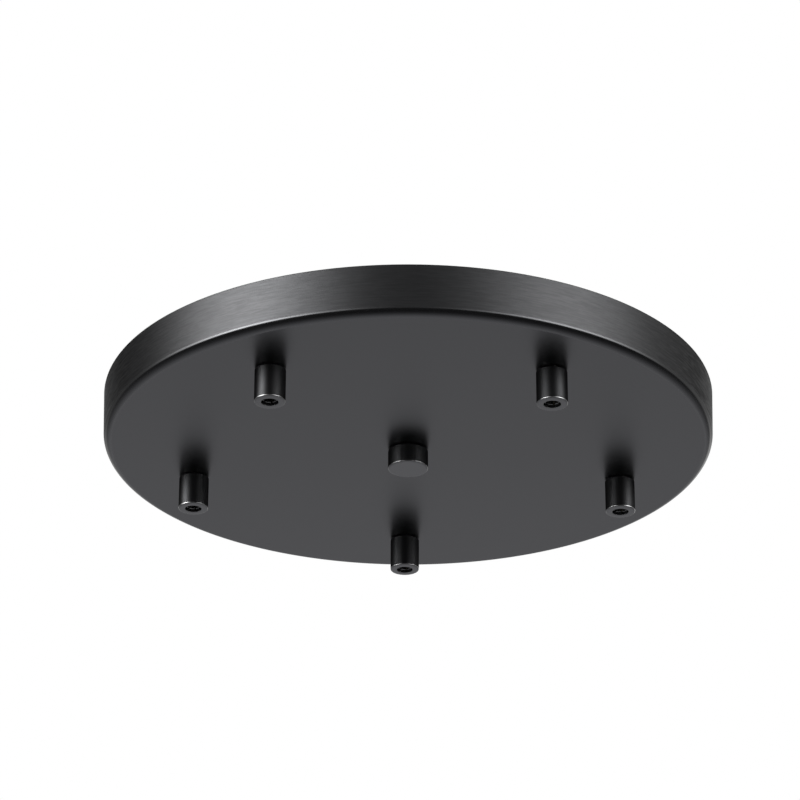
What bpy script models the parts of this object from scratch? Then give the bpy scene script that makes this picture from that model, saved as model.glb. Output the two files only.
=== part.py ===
"""Light fixture ceiling canopy: a drawn steel pan with five cord grips, hung on a centre stud.

Run it with blender --background --python part.py, or from Blender's text editor.
Units are metres and +Z is up. The ceiling is the plane z = 0 and the centre stud is the Z axis.
"""

import math

import bmesh
import bpy

# Canopy pan
CANOPY_DIAMETER = 0.3048
CANOPY_HEIGHT = 0.0254
SHEET_THICKNESS = 0.0010
CORNER_RADIUS = 0.0038
WALL_DRAFT = math.radians(1.5)

# Fits that all the pieces share
SEAT_GAP = 0.0003
THREAD_DIAMETER = 0.0100
THREAD_CLEARANCE = 0.00035
THREAD_CHAMFER = 0.0005

# Cord grips, evenly spaced on a circle inside the canopy's wall
GRIP_COUNT = 5
GRIP_EDGE_DISTANCE = 0.0386
GRIP_LENGTH = 0.0175
SLEEVE_WALL = 0.00085
SLEEVE_EDGE_RADIUS = 0.0007
SLEEVE_END_WALL = 0.0022
OUTLET_CHAMFER = 0.0003
CLAMP_CONE_LENGTH = 0.0026
COLLAR_LEDGE = 0.0013
COLLAR_THICKNESS = 0.0015
STEM_WALL = 0.0014
STEM_PROUD_OF_NUT = 0.0022

# Split collet inside each grip, bored for the cord
COLLET_BORE = 0.0066
COLLET_NOSE_WALL = 0.00045
COLLET_SKIRT_LENGTH = 0.0044
COLLET_NOSE_LENGTH = 0.0006
COLLET_RING_LENGTH = 0.0018
COLLET_SLOT_PAIRS = 3
COLLET_SLOT_WIDTH = 0.0008

# Lock washers and hex nuts
WASHER_RING_WIDTH = 0.00195
WASHER_THICKNESS = 0.0008
WASHER_TOOTH_LENGTH = 0.0010
WASHER_TEETH = 8
NUT_WALL = 0.0020
NUT_HEIGHT = 0.0030
NUT_CHAMFER = 0.0007

# Cap nut and centre stud
CAP_DIAMETER = 0.0200
CAP_LENGTH = 0.0105
CAP_EDGE_RADIUS = 0.0008
CAP_END_WALL = 0.0020
STUD_WALL = 0.0018
STUD_PROUD_OF_CROSSBAR = 0.0034

# Crossbar
CROSSBAR_WIDTH = 0.0210
CROSSBAR_THICKNESS = 0.0016
CROSSBAR_OFFSET = 0.0060
CROSSBAR_BEND_ANGLE = math.radians(55)
CROSSBAR_CORNER_RADIUS = 0.0050
BOX_SCREWS_NARROW = 0.0699
BOX_SCREWS_RANGE = 0.0190
BOX_SCREW_SLOT_WIDTH = 0.0050
CROSSBAR_END_MARGIN = 0.0065

# Ground screw
GROUND_SCREW_DIAMETER = 0.0048
GROUND_SCREW_PROUD = 0.0034
GROUND_FLANGE_DIAMETER = 0.0100
GROUND_FLANGE_THICKNESS = 0.0008
GROUND_HEAD_ACROSS_FLATS = 0.0070
GROUND_HEAD_HEIGHT = 0.0028
GROUND_SLOT_WIDTH = 0.0012
GROUND_SLOT_DEPTH = 0.0014
GROUND_SCREW_MARGIN = 0.0015

# Facets around each turned shape
PAN_SEGMENTS = 80
CORNER_STEPS = 4
EDGE_STEPS = 3
SLEEVE_SEGMENTS = 24
CAP_SEGMENTS = 28
THREAD_SEGMENTS = 20
SMALL_SEGMENTS = 16

SHARP_ANGLE = math.radians(32)
MERGE_DISTANCE = 1e-7

thread_radius = THREAD_DIAMETER / 2
clear_radius = thread_radius + THREAD_CLEARANCE
nut_across_flats = 2 * (thread_radius + NUT_WALL)
canopy_face = -CANOPY_HEIGHT


def clear_scene():
    """Remove what the file holds, so that each run gives the same model."""
    for obj in list(bpy.data.objects):
        bpy.data.objects.remove(obj, do_unlink=True)
    for mesh in list(bpy.data.meshes):
        bpy.data.meshes.remove(mesh)


def material(name, colour, roughness, metallic):
    """Make a plain Principled material."""
    mat = bpy.data.materials.new(name)
    mat.use_nodes = True
    shader = mat.node_tree.nodes["Principled BSDF"]
    shader.inputs["Base Color"].default_value = (*colour, 1.0)
    shader.inputs["Roughness"].default_value = roughness
    shader.inputs["Metallic"].default_value = metallic
    return mat


def finish_mesh(bm, name):
    """Turn a bmesh into a mesh with its faces out and only its real edges sharp."""
    bmesh.ops.remove_doubles(bm, verts=bm.verts, dist=MERGE_DISTANCE)
    bmesh.ops.recalc_face_normals(bm, faces=bm.faces)
    mesh = bpy.data.meshes.new(name)
    bm.to_mesh(mesh)
    bm.free()
    mesh.shade_smooth()
    mesh.set_sharp_from_angle(angle=SHARP_ANGLE)
    return mesh


def turned(name, outline, segments):
    """Spin an outline of (radius, height) points round the Z axis.

    An outline that starts and ends on the axis makes a solid without a bore. Any other outline is
    closed back to its first point and makes a ring.
    """
    bm = bmesh.new()
    verts = [bm.verts.new((radius, 0, height)) for radius, height in outline]
    edges = [bm.edges.new(pair) for pair in zip(verts, verts[1:])]
    if outline[0][0] > 0:
        edges.append(bm.edges.new((verts[-1], verts[0])))
    bmesh.ops.spin(bm, geom=verts + edges, cent=(0, 0, 0), axis=(0, 0, 1),
                   angle=math.tau, steps=segments, use_merge=True)
    return finish_mesh(bm, name)


def prism(name, corners, bottom, top):
    """Extrude a flat outline of (x, y) corners from one height to another."""
    bm = bmesh.new()
    face = bm.faces.new([bm.verts.new((x, y, bottom)) for x, y in corners])
    extruded = bmesh.ops.extrude_face_region(bm, geom=[face])
    lifted = [item for item in extruded["geom"] if isinstance(item, bmesh.types.BMVert)]
    bmesh.ops.translate(bm, verts=lifted, vec=(0, 0, top - bottom))
    return finish_mesh(bm, name)


def circle(radius, segments, centre=(0.0, 0.0), turn=0.0):
    """Return the corners of a regular outline, also used for hexagons."""
    angles = [turn + math.tau * step / segments for step in range(segments)]
    return [(centre[0] + radius * math.cos(a), centre[1] + radius * math.sin(a)) for a in angles]


def hexagon(across_flats):
    """Return the six corners of a nut or screw head."""
    return circle(across_flats / 2 / math.cos(math.pi / 6), 6)


def slot_outline(start, end, width, segments=SMALL_SEGMENTS):
    """Return a slot along X with half-round ends centred on start and end."""
    radius = width / 2
    half = segments // 2
    right = [math.pi * (step / half - 0.5) for step in range(half + 1)]
    outline = [(end + radius * math.cos(a), radius * math.sin(a)) for a in right]
    outline += [(start - radius * math.cos(a), -radius * math.sin(a)) for a in right]
    return outline


def combine(name, base, tools):
    """Apply (operation, mesh) Booleans to a base mesh in turn and return the finished mesh."""
    scene = bpy.context.scene.collection.objects
    body = bpy.data.objects.new(name, base)
    scene.link(body)
    helpers = [body]
    for operation, mesh in tools:
        helper = bpy.data.objects.new(mesh.name, mesh)
        helper.hide_render = True
        helper.display_type = "WIRE"
        scene.link(helper)
        helpers.append(helper)
        step = body.modifiers.new(operation.lower(), "BOOLEAN")
        step.operation = operation
        step.solver = "EXACT"
        step.object = helper
    bpy.context.view_layer.update()
    evaluated = body.evaluated_get(bpy.context.evaluated_depsgraph_get())
    bm = bmesh.new()
    bm.from_mesh(evaluated.to_mesh())
    evaluated.to_mesh_clear()
    for helper in helpers:
        bpy.data.objects.remove(helper, do_unlink=True)
    for mesh in [base] + [mesh for _, mesh in tools]:
        bpy.data.meshes.remove(mesh)
    return finish_mesh(bm, name)


def place(name, mesh, mat, parent=None):
    """Put one named piece in the scene. Copies of a piece share its mesh."""
    if not mesh.materials:
        mesh.materials.append(mat)
    obj = bpy.data.objects.new(name, mesh)
    bpy.context.scene.collection.objects.link(obj)
    obj.parent = parent
    return obj


def axis_empty(name, location):
    """Mark a joint axis with an empty that carries the pieces on it."""
    empty = bpy.data.objects.new(name, None)
    empty.empty_display_size = 2 * sleeve_radius
    empty.location = location
    bpy.context.scene.collection.objects.link(empty)
    return empty


def arc(centre_radius, centre_height, radius, first, last, steps):
    """Return (radius, height) points of an arc. Angle 0 points down and a quarter turn points outwards."""
    points = []
    for step in range(steps + 1):
        angle = first + (last - first) * step / steps
        points.append((centre_radius + radius * math.sin(angle), centre_height - radius * math.cos(angle)))
    return points


def upper_edge(outer_radius, top, radius):
    """Round the edge between a flat top and a cylinder, from the top down."""
    return arc(outer_radius - radius, top - radius, radius, math.pi, math.pi / 2, EDGE_STEPS)


def lower_edge(outer_radius, bottom, radius):
    """Round the edge between a cylinder and a flat bottom, on down to the bottom."""
    return arc(outer_radius - radius, bottom + radius, radius, math.pi / 2, 0, EDGE_STEPS)


def drafted_corner(rim_radius, face_height, radius):
    """Round the pan's corner, from the face up to the wall that opens towards its rim at z = 0."""
    centre_height = face_height + radius
    reach = (radius - centre_height * math.sin(WALL_DRAFT)) / math.cos(WALL_DRAFT)
    return arc(rim_radius - reach, centre_height, radius, 0, math.pi / 2 - WALL_DRAFT, CORNER_STEPS)


def grip_places():
    """Return the centre of each grip, the first one straight along +Y."""
    radius = CANOPY_DIAMETER / 2 - GRIP_EDGE_DISTANCE
    return circle(radius, GRIP_COUNT, turn=math.pi / 2)


def pan_mesh():
    """Draw the sheet: outer skin from the stud hole to the rim, inner skin back to the hole."""
    rim = CANOPY_DIAMETER / 2
    inside_rim = rim - SHEET_THICKNESS / math.cos(WALL_DRAFT)
    inside_face = canopy_face + SHEET_THICKNESS
    inside_radius = max(CORNER_RADIUS - SHEET_THICKNESS, SHEET_THICKNESS / 4)
    outer = drafted_corner(rim, canopy_face, CORNER_RADIUS)
    inner = drafted_corner(inside_rim, inside_face, inside_radius)
    outline = [(clear_radius, canopy_face)] + outer + [(rim, 0)]
    outline += [(inside_rim, 0)] + inner[::-1] + [(clear_radius, inside_face)]
    pan = turned("pan_blank", outline, PAN_SEGMENTS)
    punches = []
    for centre in grip_places():
        hole = circle(clear_radius, THREAD_SEGMENTS, centre)
        bottom = canopy_face - SHEET_THICKNESS
        top = canopy_face + 2 * SHEET_THICKNESS
        punches.append(("DIFFERENCE", prism("grip_punch", hole, bottom, top)))
    return combine("canopy_pan", pan, punches)


# Heights of a grip, measured from the pan's lower face
collar_radius = thread_radius + COLLAR_LEDGE
recess_radius = collar_radius + THREAD_CLEARANCE
sleeve_radius = recess_radius + SLEEVE_WALL
nose_radius = COLLET_BORE / 2 + COLLET_NOSE_WALL
outlet_radius = nose_radius + THREAD_CLEARANCE
sleeve_end = -GRIP_LENGTH
cone_start = sleeve_end + SLEEVE_END_WALL
cone_end = cone_start + CLAMP_CONE_LENGTH
collet_top = cone_end + COLLET_SKIRT_LENGTH
stem_end = collet_top + SEAT_GAP
collar_top = -SEAT_GAP
collar_end = collar_top - COLLAR_THICKNESS
washer_base = SHEET_THICKNESS + SEAT_GAP
nut_base = washer_base + WASHER_THICKNESS + SEAT_GAP
stem_top = nut_base + NUT_HEIGHT + STEM_PROUD_OF_NUT


def sleeve_mesh():
    """Turn the outer cylinder, with a counterbore for the collar and a cone that clamps the collet."""
    recess_end = collar_end - SEAT_GAP
    top_edge_radius = min(SLEEVE_EDGE_RADIUS, 0.9 * SLEEVE_WALL)
    outline = [(recess_radius, -SEAT_GAP)]
    outline += upper_edge(sleeve_radius, -SEAT_GAP, top_edge_radius)
    outline += lower_edge(sleeve_radius, sleeve_end, SLEEVE_EDGE_RADIUS)
    outline += [
        (outlet_radius + OUTLET_CHAMFER, sleeve_end),
        (outlet_radius, sleeve_end + OUTLET_CHAMFER),
        (outlet_radius, cone_start),
        (clear_radius, cone_end),
        (clear_radius, recess_end),
        (recess_radius, recess_end),
    ]
    return turned("grip_sleeve", outline, SLEEVE_SEGMENTS)


def collet_mesh():
    """Turn the collet to follow the sleeve's cone, then saw it into fingers from its nose."""
    bore_radius = COLLET_BORE / 2
    nose_end = cone_start - COLLET_NOSE_LENGTH
    outline = [
        (bore_radius, collet_top),
        (thread_radius, collet_top),
        (thread_radius, cone_end),
        (nose_radius, cone_start),
        (nose_radius, nose_end),
        (bore_radius, nose_end),
    ]
    blank = turned("collet_blank", outline, THREAD_SEGMENTS)
    saws = []
    for pair in range(COLLET_SLOT_PAIRS):
        turn = math.pi * (pair + 0.25) / COLLET_SLOT_PAIRS
        length = THREAD_DIAMETER
        half_width = COLLET_SLOT_WIDTH / 2
        blade = [(-length, -half_width), (length, -half_width), (length, half_width), (-length, half_width)]
        cosine = math.cos(turn)
        sine = math.sin(turn)
        blade = [(x * cosine - y * sine, x * sine + y * cosine) for x, y in blade]
        mesh = prism("collet_saw", blade, nose_end - COLLET_NOSE_LENGTH, collet_top - COLLET_RING_LENGTH)
        saws.append(("DIFFERENCE", mesh))
    return combine("grip_collet", blank, saws)


def stem_mesh():
    """Turn the hollow threaded stem with the collar that bears on the pan's lower face."""
    bore_radius = thread_radius - STEM_WALL
    outline = [
        (bore_radius, stem_top),
        (thread_radius - THREAD_CHAMFER, stem_top),
        (thread_radius, stem_top - THREAD_CHAMFER),
        (thread_radius, collar_top),
        (collar_radius, collar_top),
        (collar_radius, collar_end),
        (thread_radius, collar_end),
        (thread_radius, stem_end + THREAD_CHAMFER),
        (thread_radius - THREAD_CHAMFER, stem_end),
        (bore_radius, stem_end),
    ]
    return turned("grip_stem", outline, THREAD_SEGMENTS)


def washer_mesh():
    """Stamp the lock washer: a flat ring with square teeth round its inner edge."""
    points_per_tooth = 4
    count = WASHER_TEETH * points_per_tooth
    root_radius = clear_radius + WASHER_TOOTH_LENGTH
    rim = circle(root_radius + WASHER_RING_WIDTH, count)
    tips = circle(clear_radius, count)
    roots = circle(root_radius, count)
    teeth = [tips[i] if i % points_per_tooth < points_per_tooth // 2 else roots[i] for i in range(count)]
    bm = bmesh.new()
    loops = []
    for outline, height in ((rim, 0), (teeth, 0), (teeth, WASHER_THICKNESS), (rim, WASHER_THICKNESS)):
        loops.append([bm.verts.new((x, y, washer_base + height)) for x, y in outline])
    for first, second in zip(loops, loops[1:] + loops[:1]):
        for i in range(count):
            bm.faces.new((first[i - 1], first[i], second[i], second[i - 1]))
    return finish_mesh(bm, "lock_washer")


def nut_mesh(name, base):
    """Cut a hexagon to height, turn its corners down at both ends and bore it."""
    flats = nut_across_flats / 2
    corner = flats / math.cos(math.pi / 6)
    top = base + NUT_HEIGHT
    lathe = [
        (0, base),
        (flats, base),
        (corner + NUT_CHAMFER, base + NUT_CHAMFER),
        (corner + NUT_CHAMFER, top - NUT_CHAMFER),
        (flats, top),
        (0, top),
    ]
    blank = prism("nut_blank", hexagon(nut_across_flats), base, top)
    corners = turned("nut_corners", lathe, SLEEVE_SEGMENTS)
    bore = prism("nut_bore", circle(clear_radius, THREAD_SEGMENTS), base - NUT_HEIGHT, top + NUT_HEIGHT)
    return combine(name, blank, [("INTERSECT", corners), ("DIFFERENCE", bore)])


def cap_nut_mesh():
    """Turn the blind cap nut, open at the top for the stud."""
    radius = CAP_DIAMETER / 2
    end = -CAP_LENGTH
    outline = [(0, end)]
    outline += lower_edge(radius, end, CAP_EDGE_RADIUS)[::-1]
    outline += upper_edge(radius, -SEAT_GAP, CAP_EDGE_RADIUS)[::-1]
    outline += [
        (clear_radius, -SEAT_GAP),
        (clear_radius, end + CAP_END_WALL),
        (0, end + CAP_END_WALL),
    ]
    return turned("cap_nut", outline, CAP_SEGMENTS)


def stud_mesh():
    """Turn the hollow stud that runs from the crossbar to the bottom of the cap nut."""
    top = STUD_PROUD_OF_CROSSBAR - CROSSBAR_OFFSET
    end = canopy_face - CAP_LENGTH + CAP_END_WALL + 2 * SEAT_GAP
    bore_radius = thread_radius - STUD_WALL
    outline = [
        (bore_radius, top),
        (thread_radius - THREAD_CHAMFER, top),
        (thread_radius, top - THREAD_CHAMFER),
        (thread_radius, end + THREAD_CHAMFER),
        (thread_radius - THREAD_CHAMFER, end),
        (bore_radius, end),
    ]
    return turned("centre_stud", outline, THREAD_SEGMENTS)


# Places along the crossbar
nut_corner = nut_across_flats / 2 / math.cos(math.pi / 6)
ground_place = nut_corner + GROUND_SCREW_MARGIN + GROUND_FLANGE_DIAMETER / 2
middle_half = ground_place + GROUND_FLANGE_DIAMETER / 2 + GROUND_SCREW_MARGIN
ear_start = middle_half + CROSSBAR_OFFSET / math.tan(CROSSBAR_BEND_ANGLE)
slot_start = BOX_SCREWS_NARROW / 2
slot_end = slot_start + BOX_SCREWS_RANGE / 2
crossbar_half = slot_end + BOX_SCREW_SLOT_WIDTH / 2 + CROSSBAR_END_MARGIN
crossbar_base = -CROSSBAR_OFFSET - CROSSBAR_THICKNESS


def crossbar_mesh():
    """Bend the strap from its side view, round its corners and punch its holes."""
    run = [
        (-crossbar_half, 0),
        (-ear_start, 0),
        (-middle_half, -CROSSBAR_OFFSET),
        (middle_half, -CROSSBAR_OFFSET),
        (ear_start, 0),
        (crossbar_half, 0),
    ]
    # The mitre moves the lower skin's bends along the strap, so that the slope keeps its thickness.
    mitre = CROSSBAR_THICKNESS * math.tan(CROSSBAR_BEND_ANGLE / 2)
    shift = [0, -mitre, -mitre, mitre, mitre, 0]
    under = [(x - move, z - CROSSBAR_THICKNESS) for (x, z), move in zip(run, shift)]
    bm = bmesh.new()
    half_width = CROSSBAR_WIDTH / 2
    side = [bm.verts.new((x, -half_width, z)) for x, z in run + under[::-1]]
    face = bm.faces.new(side)
    extruded = bmesh.ops.extrude_face_region(bm, geom=[face])
    moved = [item for item in extruded["geom"] if isinstance(item, bmesh.types.BMVert)]
    bmesh.ops.translate(bm, verts=moved, vec=(0, CROSSBAR_WIDTH, 0))
    strap = finish_mesh(bm, "strap_blank")

    low = 2 * crossbar_base
    high = CROSSBAR_THICKNESS
    corner = min(CROSSBAR_CORNER_RADIUS, half_width * 0.95)
    corners = []
    for x_sign, y_sign, first in ((1, 1, 0), (-1, 1, 1), (-1, -1, 2), (1, -1, 3)):
        centre = (x_sign * (crossbar_half - corner), y_sign * (half_width - corner))
        for step in range(CORNER_STEPS + 1):
            angle = math.pi / 2 * (first + step / CORNER_STEPS)
            corners.append((centre[0] + corner * math.cos(angle), centre[1] + corner * math.sin(angle)))
    die = prism("strap_die", corners, low, high)
    screw_clear = GROUND_SCREW_DIAMETER / 2 + SEAT_GAP
    punches = [
        prism("stud_punch", circle(clear_radius, THREAD_SEGMENTS), low, high),
        prism("right_slot_punch", slot_outline(slot_start, slot_end, BOX_SCREW_SLOT_WIDTH), low, high),
        prism("left_slot_punch", slot_outline(-slot_end, -slot_start, BOX_SCREW_SLOT_WIDTH), low, high),
        prism("ground_punch", circle(screw_clear, SMALL_SEGMENTS, (-ground_place, 0)), low, high),
        prism("spare_punch", circle(screw_clear, SMALL_SEGMENTS, (ground_place, 0)), low, high),
    ]
    return combine("crossbar", strap, [("INTERSECT", die)] + [("DIFFERENCE", punch) for punch in punches])


def ground_screw_mesh():
    """Join a turned shank and flange to a hexagon head and saw the driver slot."""
    flange_top = -SEAT_GAP
    flange_base = flange_top - GROUND_FLANGE_THICKNESS
    head_base = flange_base - GROUND_HEAD_HEIGHT
    shank = GROUND_SCREW_DIAMETER / 2
    flange = GROUND_FLANGE_DIAMETER / 2
    tip = CROSSBAR_THICKNESS + GROUND_SCREW_PROUD
    outline = [
        (0, tip),
        (shank - SEAT_GAP, tip),
        (shank, tip - SEAT_GAP),
        (shank, flange_top),
        (flange, flange_top),
        (flange, flange_base),
        (0, flange_base),
    ]
    turned_part = turned("ground_shank", outline, SMALL_SEGMENTS)
    inside_flange = flange_base + GROUND_FLANGE_THICKNESS / 2
    head = prism("ground_head", hexagon(GROUND_HEAD_ACROSS_FLATS), head_base, inside_flange)
    reach = GROUND_FLANGE_DIAMETER
    half = GROUND_SLOT_WIDTH / 2
    blade = [(-reach, -half), (reach, -half), (reach, half), (-reach, half)]
    slot = prism("ground_slot", blade, head_base - GROUND_SLOT_DEPTH, head_base + GROUND_SLOT_DEPTH)
    return combine("ground_screw", turned_part, [("UNION", head), ("DIFFERENCE", slot)])


def build():
    """Make every piece and put it on its axis."""
    clear_scene()
    black_steel = material("satin_black_steel", (0.020, 0.020, 0.021), 0.38, 0.0)
    black_turned = material("satin_black_turned_metal", (0.012, 0.012, 0.014), 0.30, 0.6)
    nylon = material("black_nylon", (0.015, 0.015, 0.016), 0.25, 0.0)
    zinc = material("zinc_plated_steel", (0.62, 0.63, 0.64), 0.32, 1.0)
    thread = material("zinc_plated_thread", (0.56, 0.55, 0.50), 0.36, 1.0)
    green = material("green_ground_screw", (0.02, 0.22, 0.06), 0.35, 0.7)

    stud_axis = axis_empty("stud_axis", (0, 0, 0))
    cap_axis = axis_empty("cap_axis", (0, 0, canopy_face))
    place("canopy_pan", pan_mesh(), black_steel, stud_axis)
    place("crossbar", crossbar_mesh(), zinc, stud_axis)
    place("centre_stud", stud_mesh(), thread, stud_axis)
    lock_nut = place("stud_lock_nut", nut_mesh("stud_lock_nut", -SEAT_GAP - NUT_HEIGHT), zinc, stud_axis)
    lock_nut.location.z = crossbar_base
    ground = place("ground_screw", ground_screw_mesh(), green, stud_axis)
    ground.location = (-ground_place, 0, crossbar_base)
    place("cap_nut", cap_nut_mesh(), black_turned, cap_axis)

    pieces = [
        ("sleeve", sleeve_mesh(), black_turned),
        ("collet", collet_mesh(), nylon),
        ("stem", stem_mesh(), thread),
        ("washer", washer_mesh(), zinc),
        ("nut", nut_mesh("grip_nut", nut_base), zinc),
    ]
    for number, (x, y) in enumerate(grip_places(), start=1):
        axis = axis_empty(f"grip_{number}_axis", (x, y, canopy_face))
        for piece, mesh, mat in pieces:
            place(f"grip_{number}_{piece}", mesh, mat, axis)


build()
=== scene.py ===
# %% [markdown]
# # A ceiling canopy for five pendant cords
# A ceiling canopy is the shallow black pan that hides the wiring of a pendant light. This one is a
# drawn steel pan with five cord grips on its face. A cap nut on a centre stud holds it up, and the
# stud hangs from a crossbar that is screwed to the ceiling box. The lesson rebuilds every piece
# over a measured frame: the frame says where each piece is, and the cells below give it the edges,
# threads and finishes that a plain solid lacks.

# %% Load the measured frame
import math

import bmesh
import bpy
from mathutils import Matrix, Vector


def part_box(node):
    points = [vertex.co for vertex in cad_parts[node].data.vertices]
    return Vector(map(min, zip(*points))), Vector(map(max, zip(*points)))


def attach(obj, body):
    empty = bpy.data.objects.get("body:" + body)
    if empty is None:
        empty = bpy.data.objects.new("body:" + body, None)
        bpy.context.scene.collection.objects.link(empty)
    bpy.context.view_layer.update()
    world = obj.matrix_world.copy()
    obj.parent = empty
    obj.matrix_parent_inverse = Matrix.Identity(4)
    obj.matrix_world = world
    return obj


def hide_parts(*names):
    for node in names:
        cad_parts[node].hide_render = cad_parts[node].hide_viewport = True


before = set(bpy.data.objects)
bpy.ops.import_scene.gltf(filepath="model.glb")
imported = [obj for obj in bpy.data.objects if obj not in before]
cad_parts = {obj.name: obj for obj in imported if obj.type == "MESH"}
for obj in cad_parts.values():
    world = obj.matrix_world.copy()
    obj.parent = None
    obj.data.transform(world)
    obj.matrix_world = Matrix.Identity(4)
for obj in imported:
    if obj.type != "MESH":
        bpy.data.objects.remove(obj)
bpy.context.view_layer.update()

# %% [markdown]
# ## Sizes
# The frame's boxes already hold the outer sizes, so they are read and not typed again. Only what a
# box can't tell, such as a sheet's thickness or a thread's pitch, is written here. All lengths are
# in metres, the ceiling is the plane z = 0 and the stud is the Z axis.

# %% Read and name the sizes
pan_low, pan_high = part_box("canopy_pan")
pan_radius = pan_high.x
face = pan_low.z
sheet = 0.0010
corner_radius = 0.0038
wall_draft = math.radians(1.5)

grip_places = []
for number in range(1, 6):
    low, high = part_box(f"grip_{number}_sleeve")
    grip_places.append(((low.x + high.x) / 2, (low.y + high.y) / 2))

thread_radius = 0.0050
hole_radius = 0.00535
thread_pitch = 0.0010
print("pan radius", round(pan_radius * 1000, 1), "mm, face at", round(face * 1000, 1), "mm")
print("grips at", [(round(x * 1000, 1), round(y * 1000, 1)) for x, y in grip_places])

# %% [markdown]
# ## Working by hand, in code
# Every piece starts as a primitive and is shaped in edit mode, as with the mouse. Blender's
# operators act on whatever is selected, so three small helpers keep that honest. One makes a single
# piece the active one. One names a new primitive and moves its place into its mesh. The last picks
# the vertices, edges or faces that pass a test, which stands for clicking on them.

# %% Helpers that select and name
def only(piece):
    """Leave one piece selected and active, in object mode."""
    if bpy.context.object and bpy.context.object.mode != "OBJECT":
        bpy.ops.object.mode_set(mode="OBJECT")
    bpy.ops.object.select_all(action="DESELECT")
    piece.select_set(True)
    bpy.context.view_layer.objects.active = piece
    return piece


def new_piece(name):
    """Name the primitive that was just added and put its place into its mesh."""
    piece = bpy.context.object
    piece.name = name
    piece.data.name = name
    bpy.ops.object.transform_apply(location=True, rotation=True, scale=True)
    return piece


def pick(piece, kind, wanted):
    """In edit mode, select the vertices, edges or faces that pass a test."""
    bpy.ops.mesh.select_mode(type=kind)
    bpy.ops.mesh.select_all(action="DESELECT")
    shape = bmesh.from_edit_mesh(piece.data)
    items = {"VERT": shape.verts, "EDGE": shape.edges, "FACE": shape.faces}[kind]
    chosen = [item for item in items if wanted(item)]
    for item in chosen:
        item.select_set(True)
    shape.select_flush_mode()
    bmesh.update_edit_mesh(piece.data)
    return len(chosen)


def on_ring(radius, height, reach=2e-5):
    """Return a test for the edges of one ring round the Z axis."""
    def test(edge):
        return all(abs(math.hypot(v.co.x, v.co.y) - radius) < reach and abs(v.co.z - height) < reach
                   for v in edge.verts)
    return test


def edit(piece):
    """Open one piece in edit mode with all of it selected."""
    only(piece)
    bpy.ops.object.mode_set(mode="EDIT")
    bpy.ops.mesh.select_mode(type="VERT")
    bpy.ops.mesh.select_all(action="SELECT")


print("helpers ready")

# %% [markdown]
# Four more helpers finish a piece. The first adds a modifier, sets it and applies it, so that
# nothing live is left on the piece. The second cuts with a Boolean, which is how a drill, punch or
# saw is modelled, and removes the cutter. The third takes the burr off the sharp edges with a small
# bevel, and the last shades the piece smooth but keeps every real edge crisp.

# %% Helpers that finish
def apply(piece, kind, **settings):
    """Add one modifier, set it and apply it."""
    only(piece)
    bpy.ops.object.modifier_add(type=kind)
    step = piece.modifiers[-1]
    for setting, value in settings.items():
        setattr(step, setting, value)
    bpy.ops.object.modifier_apply(modifier=step.name)
    return piece


def cut(piece, tool, operation="DIFFERENCE"):
    """Cut, join or trim a piece with a tool, and throw the tool away."""
    apply(piece, "BOOLEAN", operation=operation, solver="EXACT", object=tool)
    bpy.data.objects.remove(tool, do_unlink=True)
    return piece


def deburr(piece, width, degrees, segments=2):
    """Bevel the edges that turn by more than an angle."""
    return apply(piece, "BEVEL", width=width, segments=segments, limit_method="ANGLE",
                 angle_limit=math.radians(degrees))


def smooth(piece, degrees=30):
    """Shade smooth, with the edges over an angle kept sharp."""
    only(piece)
    bpy.ops.object.shade_smooth_by_angle(angle=math.radians(degrees))
    return piece


print("finishing helpers ready")

# %% [markdown]
# ## The drawn pan
# The real pan is one disc of sheet steel that a press draws over a punch, so it has an even wall, a
# round corner and no seam, and the wall opens a little towards its rim so that the punch comes out.
# A lathe profile would do, but a cylinder that loses its top, has its corner bevelled and is then
# given its thickness follows the press more closely: the sheet stays one skin until the end. The
# corner is a hair flatter than a quarter circle, which a bevel profile just under 0.5 gives. The
# extra rings on the wall and the thin insets on the face keep both of them perfectly straight when
# they are shaded smooth. The rim is pressed level last, and its edge is rounded by 0.42 mm.

# %% Draw the pan
face_insets = (0.0003, 0.0020)
wall_rings = (face + corner_radius + 0.0003, -0.0004)
rim_edge = 0.00042
corner_profile = 0.47
bpy.ops.object.select_all(action="DESELECT")
bpy.ops.mesh.primitive_cylinder_add(vertices=320, radius=pan_radius, depth=-face,
                                    end_fill_type="NGON", location=(0, 0, face / 2))
pan = new_piece("drawn_pan")
edit(pan)
pick(pan, "FACE", lambda f: f.normal.z > 0.9)
bpy.ops.mesh.delete(type="ONLY_FACE")
low_radius = pan_radius + face * math.tan(wall_draft)
pick(pan, "EDGE", on_ring(pan_radius, face))
bpy.ops.transform.resize(value=(low_radius / pan_radius, low_radius / pan_radius, 1),
                         center_override=(0, 0, face))
corner_reach = corner_radius * math.tan(math.pi / 4 - wall_draft / 2)
bpy.ops.mesh.bevel(offset_type="OFFSET", offset=corner_reach, segments=20, profile=corner_profile,
                   affect="EDGES")
pick(pan, "FACE", lambda f: f.normal.z < -0.9999 and len(f.verts) > 100)
for margin in face_insets:
    bpy.ops.mesh.inset(thickness=margin, use_even_offset=False)
for height in wall_rings:
    bpy.ops.mesh.select_all(action="SELECT")
    bpy.ops.mesh.bisect(plane_co=(0, 0, height), plane_no=(0, 0, 1))
apply(pan, "SOLIDIFY", thickness=sheet, offset=-1, use_even_offset=True)
edit(pan)
pick(pan, "VERT", lambda v: v.co.z > -0.0002)
bpy.ops.transform.resize(value=(1, 1, 0), center_override=(0, 0, 0))
deburr(pan, rim_edge, 50, segments=5)
print("pan:", len(pan.data.polygons), "faces")

# %% [markdown]
# The pan has six punched holes: one for the stud and one for each grip. A punch is a Boolean, and
# all the holes are cut while the pan is a closed solid, because the solver needs an inside and an
# outside.

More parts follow.
